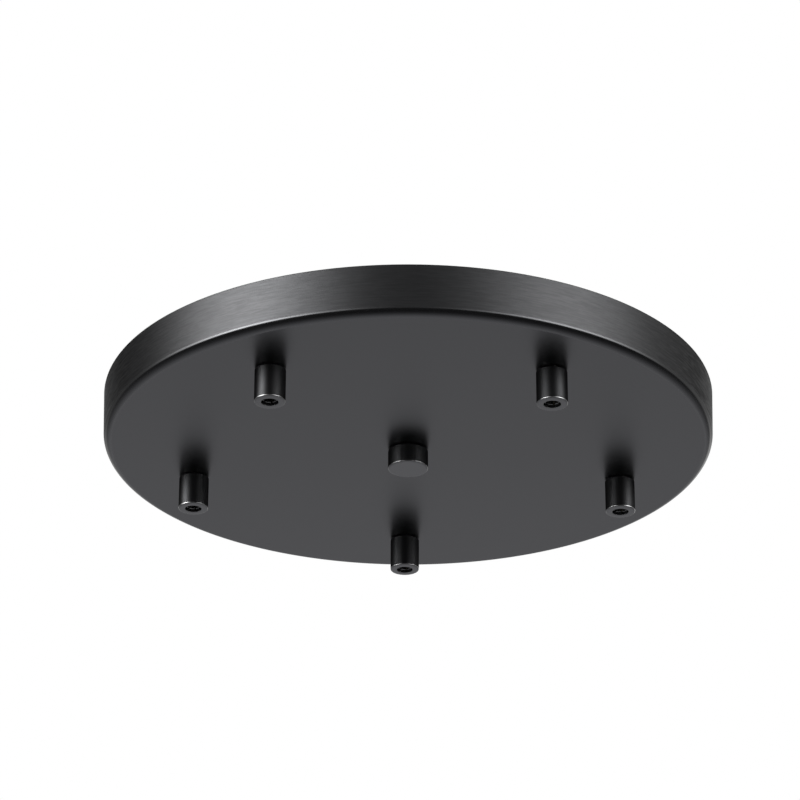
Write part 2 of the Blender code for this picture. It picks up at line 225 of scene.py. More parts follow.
# %% Punch the pan
def rod(name, radius, low, high, place=(0, 0), vertices=48):
    """Add an upright rod, used as a drill, a punch or a bar."""
    bpy.ops.object.select_all(action="DESELECT")
    bpy.ops.mesh.primitive_cylinder_add(vertices=vertices, radius=radius, depth=high - low,
                                        location=(place[0], place[1], (low + high) / 2))
    return new_piece(name)


for place in [(0, 0)] + grip_places:
    cut(pan, rod("punch", hole_radius, face - sheet, face + 3 * sheet, place))
smooth(pan)
print("pan after punching:", len(pan.data.polygons), "faces")

# %% [markdown]
# ## Turned pieces
# The sleeves, stems, collets, stud and cap nut are turned on a lathe: a tool follows a profile
# while the bar spins. Spin does exactly this. A plane is merged to one point, the point is extruded
# along the profile, and Spin sweeps the wire round the axis. A profile that starts and ends on the
# axis gives a solid bar, and one that comes back to its first point gives a ring.

# %% A lathe made of Extrude and Spin
def first_point(name, radius, height):
    """Merge a plane to the single point that a wire starts from."""
    bpy.ops.object.select_all(action="DESELECT")
    bpy.ops.mesh.primitive_plane_add(size=0.001)
    piece = new_piece(name)
    edit(piece)
    bpy.ops.mesh.merge(type="CENTER")
    bpy.ops.transform.translate(value=(radius, 0, height))
    return piece


def turned(name, profile, steps=96):
    """Extrude one point along a (radius, height) profile and spin the wire round the Z axis."""
    piece = first_point(name, *profile[0])
    for (radius, height), (next_radius, next_height) in zip(profile, profile[1:]):
        step = (next_radius - radius, 0, next_height - height)
        bpy.ops.mesh.extrude_region_move(TRANSFORM_OT_translate={"value": step})
    bpy.ops.mesh.select_all(action="SELECT")
    bpy.ops.mesh.spin(steps=steps, angle=math.tau, center=(0, 0, 0), axis=(0, 0, 1))
    bpy.ops.mesh.select_all(action="SELECT")
    bpy.ops.mesh.remove_doubles(threshold=2e-6)
    bpy.ops.mesh.select_all(action="SELECT")
    bpy.ops.mesh.normals_make_consistent(inside=False)
    return only(piece)


def round_ring(piece, radius, height, size, segments=8):
    """Round one turned edge, as a form tool does."""
    edit(piece)
    pick(piece, "EDGE", on_ring(radius, height))
    bpy.ops.mesh.bevel(offset_type="OFFSET", offset=size, segments=segments, affect="EDGES")
    return only(piece)


print("lathe ready")

# %% [markdown]
# ### Cord grip sleeve
# The sleeve is the plain black cylinder that shows on the face. Inside it has a recess for the
# stem's collar, a long bore, and a cone just behind the outlet. When the sleeve is screwed up, the
# cone squeezes the collet onto the cord. The profile is turned sharp and the edges are rounded
# after, as a form tool does it: 0.7 mm outside and 0.3 mm at the outlet. These roundings mirror the
# lamps as thin bright arcs. A ring of its own next to each rounding keeps the long side and the
# flat end straight.

# %% Turn the sleeve
sleeve_low, sleeve_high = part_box("grip_1_sleeve")
sleeve_radius = (sleeve_high.x - sleeve_low.x) / 2
sleeve_end = sleeve_low.z
sleeve_top = sleeve_high.z
edge_radius = 0.0007
edge_ring = 0.0009
lip_radius = 0.0003
lip_ring = 0.0005
recess_radius = 0.00665
recess_base = sleeve_top - 0.0018
outlet_radius = 0.0041
cone_start = sleeve_end + 0.0022
cone_end = cone_start + 0.0026

sleeve = turned("sleeve", [
    (recess_radius, sleeve_top), (sleeve_radius, sleeve_top),
    (sleeve_radius, sleeve_top - edge_ring), (sleeve_radius, sleeve_end + edge_ring),
    (sleeve_radius, sleeve_end), (outlet_radius + lip_ring, sleeve_end),
    (outlet_radius, sleeve_end), (outlet_radius, cone_start), (hole_radius, cone_end),
    (hole_radius, recess_base), (recess_radius, recess_base),
    (recess_radius, sleeve_top)], steps=128)
round_ring(sleeve, sleeve_radius, sleeve_end, edge_radius)
round_ring(sleeve, sleeve_radius, sleeve_top, edge_radius)
round_ring(sleeve, outlet_radius, sleeve_end, lip_radius, segments=6)
deburr(sleeve, 0.00008, 28)
smooth(sleeve)
print("sleeve:", len(sleeve.data.polygons), "faces,", round(sleeve_radius * 2000, 2), "mm across")

# %% [markdown]
# ### Split collet
# The collet is a nylon ring whose nose is split into six fingers. It is turned first and sawn
# after: three thin blades go right across, so each one opens two slots. The fingers' outside is the
# same cone as the sleeve's inside, and their tips are rounded by 0.2 mm where the cord comes out.

# %% Turn the collet and saw its fingers
def blade(name, size, height, turn=0.0):
    """Add a box on the axis, used as a saw."""
    bpy.ops.object.select_all(action="DESELECT")
    bpy.ops.mesh.primitive_cube_add(size=1, location=(0, 0, height), rotation=(0, 0, turn))
    bpy.context.object.scale = size
    return new_piece(name)


nose_radius = 0.00375
collet_bore = 0.0033
slot_width = 0.0008
uncut_ring = 0.0018
collet_low, collet_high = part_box("grip_1_collet")
collet = turned("collet", [
    (collet_bore, collet_high.z), (thread_radius, collet_high.z), (thread_radius, cone_end),
    (nose_radius, cone_start), (nose_radius, collet_low.z), (collet_bore, collet_low.z),
    (collet_bore, collet_high.z)], steps=72)
round_ring(collet, collet_bore, collet_low.z, 0.0002, segments=4)
for number in range(3):
    saw = blade("saw", (0.02, slot_width, collet_high.z - collet_low.z),
                (collet_low.z + collet_high.z) / 2 - uncut_ring, math.pi * (number + 0.25) / 3)
    cut(collet, saw)
deburr(collet, 0.00008, 35)
smooth(collet)
print("collet:", len(collet.data.polygons), "faces")

# %% [markdown]
# ### Screw threads
# A thread is one small V swept round and up at the same time. The Screw modifier does that: the
# wire below is one V, exactly one pitch high, so each turn joins the next. Its crest stands a
# little too far out on purpose. The swept bar is closed at both ends and then trimmed by a plain
# turned blank, which cuts the flat crests, the chamfers and the bore all at once, as on a real
# thread.

# %% Sweep a threaded bar
def threaded_bar(name, radius, pitch, low, high, steps=40):
    """Sweep one V thread round the Z axis and close the bar's ends."""
    depth = 0.541 * pitch
    over = 0.108 * pitch
    bar = first_point(name, radius - depth, low - 1.5 * pitch)
    for out, up in ((0, 0.125), (depth + over, 0.375), (-depth - over, 0.375), (0, 0.125)):
        bpy.ops.mesh.extrude_region_move(TRANSFORM_OT_translate={"value": (out, 0, up * pitch)})
    turns = math.ceil((high - low) / pitch) + 3
    apply(bar, "SCREW", angle=math.tau, screw_offset=pitch, iterations=turns, steps=steps,
          render_steps=steps, use_merge_vertices=True, merge_threshold=1e-6)
    edit(bar)
    bpy.ops.mesh.remove_doubles(threshold=2e-6)
    middle = (low + high) / 2
    for side in (-1, 1):
        pick(bar, "EDGE", lambda e: e.is_boundary and (e.verts[0].co.z - middle) * side > 0)
        bpy.ops.mesh.extrude_edges_move()
        bpy.ops.mesh.merge(type="CENTER")
    bpy.ops.mesh.select_all(action="SELECT")
    bpy.ops.mesh.normals_make_consistent(inside=False)
    return only(bar)


print("thread maker ready")

# %% [markdown]
# ### Grip stem
# The stem is the hollow threaded nipple that goes up through the pan. Its collar bears on the face
# from below, a washer and a nut pull it tight from above, and the sleeve screws onto its lower
# half. It is zinc plated, so its threads shine where they show.

# %% Thread the stem and add its collar
def nipple(name, low, high, bore):
    """Thread a bar and trim it with a hollow blank whose ends are chamfered."""
    crest = thread_radius - 0.00003
    end = 0.0005
    blank = turned(f"{name}_blank", [
        (bore, high), (crest - end, high), (crest, high - end), (crest, low + end),
        (crest - end, low), (bore, low), (bore, high)], steps=64)
    return cut(threaded_bar(name, thread_radius, thread_pitch, low, high), blank, "INTERSECT")


stem_low, stem_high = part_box("grip_1_stem")
stem = nipple("stem", stem_low.z, stem_high.z, 0.0036)
collar_radius = (stem_high.x - stem_low.x) / 2
collar_inside = 0.0041
collar_edge = 0.0002
collar_top = sleeve_top
collar_base = collar_top - 0.0015
cut(stem, turned("collar", [
    (collar_inside, collar_top), (collar_radius - collar_edge, collar_top),
    (collar_radius, collar_top - collar_edge), (collar_radius, collar_base + collar_edge),
    (collar_radius - collar_edge, collar_base), (collar_inside, collar_base),
    (collar_inside, collar_top)], steps=96), "UNION")
smooth(stem)
print("stem:", len(stem.data.polygons), "faces")

# %% [markdown]
# ### Hex nuts
# A nut is a slice of hexagonal bar whose corners are turned down at both ends. So the hexagon is
# trimmed by a turned ring that has the nut's chamfers outside and its countersunk bore inside. The
# curved lines where the cone meets the flats come by themselves.

# %% Make a nut
def hexagon(name, low, high, flat):
    """Add an upright hexagonal prism whose flats lie at a distance from the axis."""
    bpy.ops.object.select_all(action="DESELECT")
    bpy.ops.mesh.primitive_cylinder_add(
        vertices=6, radius=flat / math.cos(math.pi / 6), depth=high - low,
        location=(0, 0, (low + high) / 2), rotation=(0, 0, math.pi / 6))
    return new_piece(name)


def hex_nut(name, low, high, across_flats, bore):
    """Trim a hexagonal prism with a turned ring."""
    flat = across_flats / 2
    corner = flat / math.cos(math.pi / 6)
    nut = hexagon(name, low, high, flat)
    sink = 0.0004
    turn_down = 0.0007
    face_edge = flat - 0.0003
    wide = corner + 0.0010
    drop = (wide - face_edge) / ((corner - face_edge) / turn_down)
    base, top = low - 0.0001, high + 0.0001
    ring = turned("nut_turning", [
        (bore + sink, base), (face_edge, base), (wide, base + drop), (wide, top - drop),
        (face_edge, top), (bore + sink, top), (bore, top - sink), (bore, base + sink),
        (bore + sink, base)], steps=96)
    cut(nut, ring, "INTERSECT")
    deburr(nut, 0.00008, 40)
    return smooth(nut)


nut_low, nut_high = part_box("grip_1_nut")
nut_flats = nut_high.y - nut_low.y
nut_bore = thread_radius + 0.0001
nut = hex_nut("nut", nut_low.z, nut_high.z, nut_flats, nut_bore)
print("nut:", len(nut.data.polygons), "faces,", round(nut_flats * 1000, 2), "mm across flats")

# %% [markdown]
# ### Toothed lock washer
# The washer keeps the nut from working loose: its teeth are stamped on the inside edge and twisted,
# so that their corners bite. It starts as a flat ring of faces. Every second group of inner edges
# is extruded inwards to make a tooth, each tooth is twisted on its own radius, and Solidify gives
# the sheet its thickness.

# %% Stamp and twist the washer
washer_low, washer_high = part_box("grip_1_washer")
washer_radius = (washer_high.x - washer_low.x) / 2
washer_middle = (washer_low.z + washer_high.z) / 2
washer_sheet = 0.00045
tooth_root = 0.00635
tooth_tip = 0.00538
tooth_twist = 0.22
teeth = 8
points = teeth * 8
bpy.ops.object.select_all(action="DESELECT")
bpy.ops.mesh.primitive_circle_add(vertices=points, radius=washer_radius, fill_type="NGON",
                                  location=(0, 0, washer_middle))
washer = new_piece("washer")
edit(washer)
bpy.ops.mesh.inset(thickness=washer_radius - tooth_root, use_even_offset=False)
bpy.ops.mesh.delete(type="ONLY_FACE")
for tooth in range(teeth):
    middle = math.tau * tooth / teeth + math.pi / 16
    spread = math.tau / teeth / 4 + 0.01

    def at_tooth(edge):
        inner = all(math.hypot(v.co.x, v.co.y) < tooth_root + 1e-4 for v in edge.verts)
        centre = (edge.verts[0].co + edge.verts[1].co) / 2
        turn = (math.atan2(centre.y, centre.x) - middle + math.pi) % math.tau - math.pi
        return inner and abs(turn) < spread

    pick(washer, "EDGE", at_tooth)
    bpy.ops.mesh.extrude_edges_move()
    bpy.ops.transform.resize(value=(tooth_tip / tooth_root, tooth_tip / tooth_root, 1),
                             center_override=(0, 0, washer_middle))
    radial = Vector((math.cos(middle), math.sin(middle), 0))
    for vertex in bmesh.from_edit_mesh(washer.data).verts:
        if vertex.select:
            sideways = vertex.co.x * -radial.y + vertex.co.y * radial.x
            vertex.co.z += tooth_twist * sideways
apply(washer, "SOLIDIFY", thickness=washer_sheet, offset=0, use_even_offset=True)
deburr(washer, 0.00006, 40)
smooth(washer)
print("washer:", len(washer.data.polygons), "faces")

# %% [markdown]
# ### Cap nut
# The cap nut is a blind nut with no flats, turned from bar and drilled from the top. It is
# tightened by hand against the face and hides the stud's end. Its edges are rounded by 0.8 mm.

# %% Turn the cap nut
cap_low, cap_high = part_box("cap_nut")
cap_radius = (cap_high.x - cap_low.x) / 2
cap_edge = 0.0008
cap_ring = 0.0010
cap_floor = cap_low.z + 0.0020
cap_nut = turned("cap", [
    (0, cap_low.z), (cap_radius - cap_ring, cap_low.z), (cap_radius, cap_low.z),
    (cap_radius, cap_low.z + cap_ring), (cap_radius, cap_high.z - cap_ring),
    (cap_radius, cap_high.z), (hole_radius, cap_high.z), (hole_radius, cap_floor),
    (0, cap_floor)], steps=144)
round_ring(cap_nut, cap_radius, cap_low.z, cap_edge)
round_ring(cap_nut, cap_radius, cap_high.z, cap_edge)
deburr(cap_nut, 0.00010, 28)
smooth(cap_nut)
print("cap nut:", len(cap_nut.data.polygons), "faces,", round(cap_radius * 2000, 2), "mm across")

# %% [markdown]
# ### Centre stud and its lock nut
# The stud is a length of the same threaded tube that lamp makers cut from long bars. It goes
# through the crossbar, a nut locks it there, and its lower end reaches into the cap nut.

# %% Thread the stud and make its nut
stud_low, stud_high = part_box("centre_stud")
stud = nipple("stud", stud_low.z, stud_high.z, 0.0032)
smooth(stud)
lock_low, lock_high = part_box("stud_lock_nut")
lock_nut = hex_nut("lock_nut", lock_low.z, lock_high.z, lock_high.y - lock_low.y, nut_bore)
print("stud:", len(stud.data.polygons), "faces, lock nut:", len(lock_nut.data.polygons), "faces")

# %% [markdown]
# ### Crossbar
# The crossbar is a stamped strap. Its two ears lie on the ceiling box and its middle is set down by
# 6 mm, so that the nut above the stud has room. A press cuts the strap flat and then bends it, and
# the model goes the same way: a plane is the middle, its ends are extruded into slopes and ears,
# the bend lines are bevelled so that the sheet turns through a radius, and Solidify gives it 1.6
# mm.

# %% Bend the strap
strap_low, strap_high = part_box("crossbar")
strap_half = strap_high.x
strap_width = strap_high.y - strap_low.y
strap_sheet = 0.0016
ear_corner = 0.0050
strap_offset = strap_high.z - strap_low.z - strap_sheet
bend = math.radians(55)
middle_half = 0.021083
ear_start = middle_half + strap_offset / math.tan(bend)

bpy.ops.object.select_all(action="DESELECT")
bpy.ops.mesh.primitive_plane_add(size=1, location=(0, 0, -strap_offset))
bpy.context.object.scale = (2 * middle_half, strap_width, 1)
strap = new_piece("strap")
edit(strap)
for side in (-1, 1):
    pick(strap, "EDGE", lambda e: all(abs(v.co.x - side * middle_half) < 1e-5 for v in e.verts))
    slope = (side * (ear_start - middle_half), 0, strap_offset)
    bpy.ops.mesh.extrude_region_move(TRANSFORM_OT_translate={"value": slope})
    ear = (side * (strap_half - ear_start), 0, 0)
    bpy.ops.mesh.extrude_region_move(TRANSFORM_OT_translate={"value": ear})


def across_at(place):
    """Return a test for the edges that cross the strap at a distance from its middle."""
    return lambda e: all(abs(abs(v.co.x) - place) < 1e-5 for v in e.verts)


half_turn = math.tan(bend / 2)
for place, radius in ((middle_half, strap_sheet), (ear_start, 2 * strap_sheet)):
    pick(strap, "EDGE", across_at(place))
    bpy.ops.mesh.bevel(offset_type="OFFSET", offset=radius * half_turn, segments=6, affect="EDGES")
pick(strap, "VERT", lambda v: abs(v.co.x) > strap_half - 1e-5)
bpy.ops.mesh.bevel(offset_type="OFFSET", offset=ear_corner, segments=10, affect="VERTICES")
bpy.ops.mesh.select_all(action="SELECT")
bpy.ops.mesh.normals_make_consistent(inside=False)
if bmesh.from_edit_mesh(strap.data).faces[:][0].normal.z < 0:
    bpy.ops.mesh.flip_normals()
apply(strap, "SOLIDIFY", thickness=strap_sheet, offset=-1, use_even_offset=True)
print("strap:", len(strap.data.polygons), "faces,", round(strap_half * 2000, 1), "mm long")

# %% [markdown]
# The strap's holes are punched last. A slot's punch is a rod with one half of its vertices moved
# along the strap. The slots let the screws of either common size of ceiling box through, the centre
# hole takes the stud, and the two small holes are for the ground screw and a spare one.

# %% Punch the strap
slot_start = 0.03495
slot_range = 0.0095
slot_radius = 0.0025
ground_low, ground_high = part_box("ground_screw")
ground_place = (ground_low.x + ground_high.x) / 2
ground_hole = 0.0027
strap_base = strap_low.z
punch_end = 0.0020
for side in (-1, 1):
    place = (side * slot_start, 0)
    punch = rod("slot_punch", slot_radius, strap_base - punch_end, punch_end, place)
    edit(punch)
    pick(punch, "VERT", lambda v: (v.co.x - side * slot_start) * side > -1e-6)
    bpy.ops.transform.translate(value=(side * slot_range, 0, 0))
    only(punch)
    cut(strap, punch)
for place, radius in ((0, hole_radius), (ground_place, ground_hole), (-ground_place, ground_hole)):
    cut(strap, rod("hole_punch", radius, strap_base - punch_end, punch_end, (place, 0)))
deburr(strap, 0.00016, 50)
smooth(strap)
print("strap after punching:", len(strap.data.polygons), "faces")

# %% [markdown]
# ### Ground screw
# The bare ground wire goes under the green screw. It has a hexagon head with a driver slot and a
# washer-like flange in one piece, which is cold formed and then rolled. Here the shank gets the
# same swept thread as the stem, a turned flange and a trimmed hexagon are joined to it, and a thin
# box saws the slot.

# %% Make the ground screw
shank_radius = 0.0024
shank_end = 0.0006
ground_crest = shank_radius - 0.00003
flange_radius = 0.0050
flange_top = strap_base - 0.0003
flange_base = flange_top - 0.0008
head_flat = 0.0035
head_wide = 0.0046
ground = threaded_bar("ground", shank_radius, 0.0008, flange_top, ground_high.z, steps=32)
cut(ground, turned("ground_blank", [
    (0, ground_high.z), (shank_radius - shank_end, ground_high.z),
    (ground_crest, ground_high.z - shank_end), (ground_crest, flange_top - 0.0002),
    (0, flange_top - 0.0002)], steps=48), "INTERSECT")
flange = turned("flange", [
    (0, flange_top), (flange_radius - 0.0002, flange_top), (flange_radius, flange_top - 0.0002),
    (flange_radius, flange_base + 0.0003), (flange_radius - 0.0003, flange_base),
    (0, flange_base)], steps=72)
cut(ground, flange, "UNION")

head = hexagon("ground_head", ground_low.z, flange_base + 0.0003, head_flat)
cut(head, turned("head_turning", [
    (0, ground_low.z - 0.0001), (head_flat - 0.0003, ground_low.z - 0.0001),
    (head_wide, ground_low.z + 0.0008), (head_wide, flange_top),
    (0, flange_top)], steps=72), "INTERSECT")
cut(ground, head, "UNION")
cut(ground, blade("driver_saw", (0.02, 0.0012, 0.0028), ground_low.z))
edit(ground)
bpy.ops.transform.translate(value=(ground_place, 0, 0))
only(ground)
smooth(ground)
print("ground screw:", len(ground.data.polygons), "faces")

# %% [markdown]
# ## Put the grips together
# One grip is modelled on the Z axis and copied to its five places. Each copy has a mesh of its own
# and the copy's place is applied to it, because every finished piece keeps its object at the
# origin. Before copying, each piece stores where its points are from its own axis, so that the
# marks of the lathe can run round that axis on every copy.

# %% Store the distance from the axis, then copy
def remember_axis(piece, place=(0, 0)):
    """Store each point's position from the piece's own axis as an attribute."""
    points = piece.data.attributes.new("from_axis", "FLOAT_VECTOR", "POINT")
    for vertex, item in zip(piece.data.vertices, points.data):
        item.vector = (vertex.co.x - place[0], vertex.co.y - place[1], vertex.co.z)


for piece in (sleeve, collet, stem, nut, washer, cap_nut, stud, lock_nut, pan, strap):
    remember_axis(piece)
remember_axis(ground, (ground_place, 0))

grips = {}
models = {"sleeve": sleeve, "collet": collet, "stem": stem, "nut": nut, "washer": washer}
for number, (x, y) in enumerate(grip_places, start=1):
    for kind, piece in models.items():
        only(piece)
        bpy.ops.object.duplicate(linked=False)
        bpy.ops.transform.translate(value=(x, y, 0))
        grips[number, kind] = new_piece(f"{kind}_{number}")
for piece in models.values():
    bpy.data.objects.remove(piece, do_unlink=True)
print("grip pieces:", len(grips))

# %% [markdown]
# ## Shader sums in plain Python
# A finish is a small tree of nodes, and most of its nodes are sums. The class below wraps one
# output socket and answers to +, -, * and the like with the Math node that does it, so a finish
# reads like arithmetic and not like a list of links.

# %% A class for shader sums
class Flow:
    """One output socket, with arithmetic."""

    def __init__(self, tree, socket):
        self.tree = tree
        self.socket = socket

    def math(self, operation, *values):
        return self.tree.add("ShaderNodeMath", {"operation": operation}, dict(enumerate(values)))

    def __add__(self, other):
        return self.math("ADD", self, other)

    def __sub__(self, other):
        return self.math("SUBTRACT", self, other)

    def __rsub__(self, other):
        return self.math("SUBTRACT", other, self)

    def __mul__(self, other):
        return self.math("MULTIPLY", self, other)

    def __pow__(self, other):
        return self.math("POWER", self, other)

    def __abs__(self):
        return self.math("ABSOLUTE", self)

    def root(self):
        return self.math("SQRT", self)

    __radd__ = __add__
    __rmul__ = __mul__


print("shader sums ready")

# %% [markdown]
# Its partner adds any other node: settings first, then the values or links of its sockets. A soft
# step, a mix of two colours and the parts of a vector are needed all the time, by the finishes and
# by the studio too, so they get names of their own.

# %% A class for shader trees
class Tree:
    """A node tree that nodes are added to by type, settings and sockets."""

    def __init__(self, node_tree):
        self.nodes = node_tree.nodes
        self.links = node_tree.links

    def add(self, kind, settings=None, sockets=None, output=0):
        """Add a node, set it, feed its sockets and return one of its outputs."""
        node = self.nodes.new(kind)
        for setting, value in (settings or {}).items():
            setattr(node, setting, value)
        for name, value in (sockets or {}).items():
            self.feed(node.inputs[name], value)
        return Flow(self, node.outputs[output])

    def feed(self, socket, value):
        """Link a flow to a socket, or set the socket to a plain value."""
        if isinstance(value, Flow):
            self.links.new(value.socket, socket)
        else:
            socket.default_value = value

    def step(self, value, low, high, start=0.0, end=1.0):
        """Go smoothly from one shade to another as a value crosses a band."""
        return self.add("ShaderNodeMapRange", {"interpolation_type": "SMOOTHSTEP"}, {
            "Value": value, "From Min": low, "From Max": high, "To Min": start, "To Max": end})

    def mix(self, amount, first, second):
        """Mix two colours."""
        sockets = {0: amount, 6: first, 7: second}
        return self.add("ShaderNodeMix", {"data_type": "RGBA"}, sockets, output=2)

    def parts(self, vector):
        """Return the three parts of a vector."""
        split = self.add("ShaderNodeSeparateXYZ", None, {0: vector}).socket.node
        return tuple(Flow(self, split.outputs[axis]) for axis in "XYZ")


print("shader trees ready")

# %% [markdown]
# A finish starts from a Principled shader. What is the same all over, such as the index of
# refraction, is set on the shader's own sockets. Some places need another constant, such as the
# wall that is brushed one way, so a dip mixes in one more shader there. Looked at from a flat angle
# the real black stays dull, and a dip with next to no gloss does that as well.

# %% Start a finish
class Finish(Tree):
    """One material with a Principled shader."""

    def __init__(self, name, **constants):
        self.name = name
        self.constants = constants
        self.material = bpy.data.materials.new(name)
        self.material.use_nodes = True
        super().__init__(self.material.node_tree)
        self.shader = self.nodes["Principled BSDF"]
        self.fill(self.shader, constants)

    def fill(self, shader, sockets):
        """Feed the sockets of a shader, named with _ for a space."""
        for name, value in sockets.items():
            self.feed(shader.inputs[name.replace("_", " ")], value)

    def set(self, **sockets):
        """Feed the sockets of the first shader."""
        self.fill(self.shader, sockets)

    def dip(self, sheen, amount, **constants):
        """Mix in one more shader, which gets the same sheen and has constants of its own."""
        other = self.nodes.new("ShaderNodeBsdfPrincipled")
        self.fill(other, {**self.constants, **constants, **sheen})
        surface = self.nodes["Material Output"].inputs["Surface"]
        first, second = Flow(self, surface.links[0].from_socket), Flow(self, other.outputs[0])
        self.feed(surface, self.add("ShaderNodeMixShader", None, {0: amount, 1: first, 2: second}))

    def glancing(self):
        """Return 0 up to 50 degrees between the view and the normal, and 1 beyond 75 degrees."""
        facing = self.add("ShaderNodeLayerWeight", None, {"Blend": 0.5}, output="Facing")
        return self.step(facing, 0.35, 0.75)

    def facing_up(self):
        """Return 1 where the surface faces up and -1 where it faces down."""
        return self.parts(self.add("ShaderNodeTexCoord", output="Normal"))[2]

    def noise(self, vector, scale, detail=2.0, roughness=0.5):
        return self.add("ShaderNodeTexNoise", {"noise_dimensions": "3D"}, {
            "Vector": vector, "Scale": scale, "Detail": detail, "Roughness": roughness})

    def place(self):
        """Return the object's own coordinates."""
        return self.add("ShaderNodeTexCoord", output="Object")

    def axis_place(self):
        """Return the distance from the piece's own axis and the height along it."""
        name = {"attribute_name": "from_axis"}
        x, y, z = self.parts(self.add("ShaderNodeAttribute", name, output="Vector"))
        return (x * x + y * y).root(), z

    def join(self, x, y, z):
        return self.add("ShaderNodeCombineXYZ", None, {0: x, 1: y, 2: z})

    def bump(self, height, depth):
        sockets = {"Height": height, "Distance": depth, "Strength": 1.0}
        return self.add("ShaderNodeBump", None, sockets)


print("finish class ready")

# %% [markdown]
# ### Satin black over brushed steel
# The wall of the real pan is brushed round its rim and then coated, so its soft highlights break up
# into short level streaks. The face is brushed too, but its lines run across the view and it stays
# even. The streaks are noise that is stretched sideways: it changes fast with height and slowly
# along the wall. They go into the bump, a little into the roughness, and into fine lines that are
# duller than the rest. The drawn corner is the smoothest place, the wall is a little rougher than
# the face, and the inside, which nobody sees, is the dullest. The finish has a faint cool tint.

# %% Finish of the pan
cool = (0.955, 0.965, 1.0, 1.0)
black_steel = Finish("satin_black_steel", IOR=1.45, Specular_Tint=cool)
spot = black_steel.place()
x, y, z = black_steel.parts(spot)
wide = black_steel.join(x * 90, y * 90, z * 1500)
fine = black_steel.join(x * 220, y * 220, z * 4000)
streaks = (black_steel.noise(wide, 1.0, detail=2.0) * 0.6
           + black_steel.noise(fine, 1.0, detail=1.0) * 0.4)
grain = black_steel.noise(spot, 1500.0, detail=2.0)
cloud = black_steel.noise(spot, 16.0, detail=3.0)
radius, height = black_steel.axis_place()
on_corner = black_steel.step(radius, pan_radius - 0.0048, pan_radius - 0.0041)
on_wall = black_steel.step(z, face + corner_radius - 0.0008, face + corner_radius + 0.0002)
on_bend = black_steel.step(z, face + 0.0008, face + 0.0024)
inside = black_steel.step(black_steel.facing_up(), 0.2, 0.6)
darker, lighter = (0.0012, 0.0012, 0.0013, 1), (0.0022, 0.0022, 0.0023, 1)
sheen = dict(Base_Color=black_steel.mix(cloud, darker, lighter),
             Roughness=(0.33 - on_corner * 0.18 + on_wall * (0.21 + (streaks - 0.5) * 0.10)
                        + inside * 0.12 + (cloud - 0.5) * 0.02 + (grain - 0.5) * 0.02),
             Normal=black_steel.bump(streaks * on_wall + grain * 0.01, 0.00003))
black_steel.set(**sheen)
black_steel.dip(sheen, on_wall, IOR=1.475, Anisotropic=0.6, Anisotropic_Rotation=0.25)
dull_lines = black_steel.step(streaks, 0.38, 0.62) * on_wall
glancing = black_steel.glancing()
dull = glancing * on_bend * 0.72 + glancing * inside * 0.92 + dull_lines * 0.18
black_steel.dip(sheen, dull, IOR=1.03)
pan.data.materials.clear()
pan.data.materials.append(black_steel.material)
print("finish:", black_steel.name)

# %% [markdown]
# ### Satin black over turned metal
# The sleeves and the cap nut keep the fine rings of the lathe under their black finish. A ring lies
# at one height and one distance from the axis, so the noise is fed a mix of both: on the side it
# draws rings, and on the flat end it draws circles. The height of the normal tells the side, the
# rounded edges and the flat ends apart. The side is rougher and stretches its highlights, as
# brushed metal does, and the black lies thick and glossy on the rounded edges.

# %% Finish of the turned black pieces
black_turned = Finish("satin_black_turned_metal", IOR=1.50, Specular_Tint=cool,
                      Coat_IOR=2.2, Coat_Roughness=0.10)
spot = black_turned.place()
x, y, z = black_turned.parts(spot)
radius, height = black_turned.axis_place()
tool_path = height + radius * 0.618
rings = black_turned.noise(black_turned.join(tool_path * 4200, x * 40, y * 40), 1.0, detail=2.0)
grain = black_turned.noise(spot, 1400.0, detail=2.0)
cloud = black_turned.noise(spot, 60.0, detail=2.0)
tilt = abs(black_turned.facing_up())
on_side = 1 - black_turned.step(tilt, 0.04, 0.20)
on_edge = black_turned.step(tilt, 0.02, 0.08) * (1 - black_turned.step(tilt, 0.70, 0.95))
darker, lighter = (0.0011, 0.0011, 0.0012, 1), (0.0019, 0.0019, 0.0020, 1)
sheen = dict(Base_Color=black_turned.mix(cloud, darker, lighter),
             Roughness=0.20 + on_side * 0.23 + (rings - 0.5) * 0.08 + (cloud - 0.5) * 0.04,
             Coat_Weight=on_edge,
             Normal=black_turned.bump(rings + grain * 0.15, 0.000008))
black_turned.set(**sheen)
black_turned.dip(sheen, on_side, IOR=1.44, Anisotropic=0.95, Anisotropic_Rotation=0.25)
side_dull = black_turned.glancing() * on_side * 0.9
black_turned.dip({**sheen, "Coat_Weight": 0.0}, side_dull, IOR=1.03)
print("finish:", black_turned.name)

# %% [markdown]
# ### Moulded black nylon
# The collet is moulded, so it has the mould's fine even grain under a thin glossy skin, and no
# lathe marks. The skin mirrors the lamps as small glints deep in the outlets.

# %% Finish of the collets
nylon = Finish("black_nylon", IOR=1.53, Coat_Weight=1.0, Coat_IOR=2.4, Coat_Roughness=0.04)
spot = nylon.place()
pores = nylon.noise(spot, 5200.0, detail=2.0)
flow = nylon.noise(spot, 300.0, detail=2.0)
nylon.set(Base_Color=nylon.mix(flow, (0.002, 0.002, 0.002, 1), (0.004, 0.004, 0.004, 1)),
          Roughness=0.40 + (flow - 0.5) * 0.12,
          Normal=nylon.bump(pores, 0.000012))
print("finish:", nylon.name)

# %% [markdown]
# ### Bright zinc plate
# Zinc plating on stamped steel is silvery with a faint blue cast. Its shine is patchy, from the
# bath, and it shows the sheet's rolling lines and small scuffs from the barrel that the parts
# tumble in. So the roughness is a cloud with fine lines in it, and sparse thin scratches are a
# little rougher.

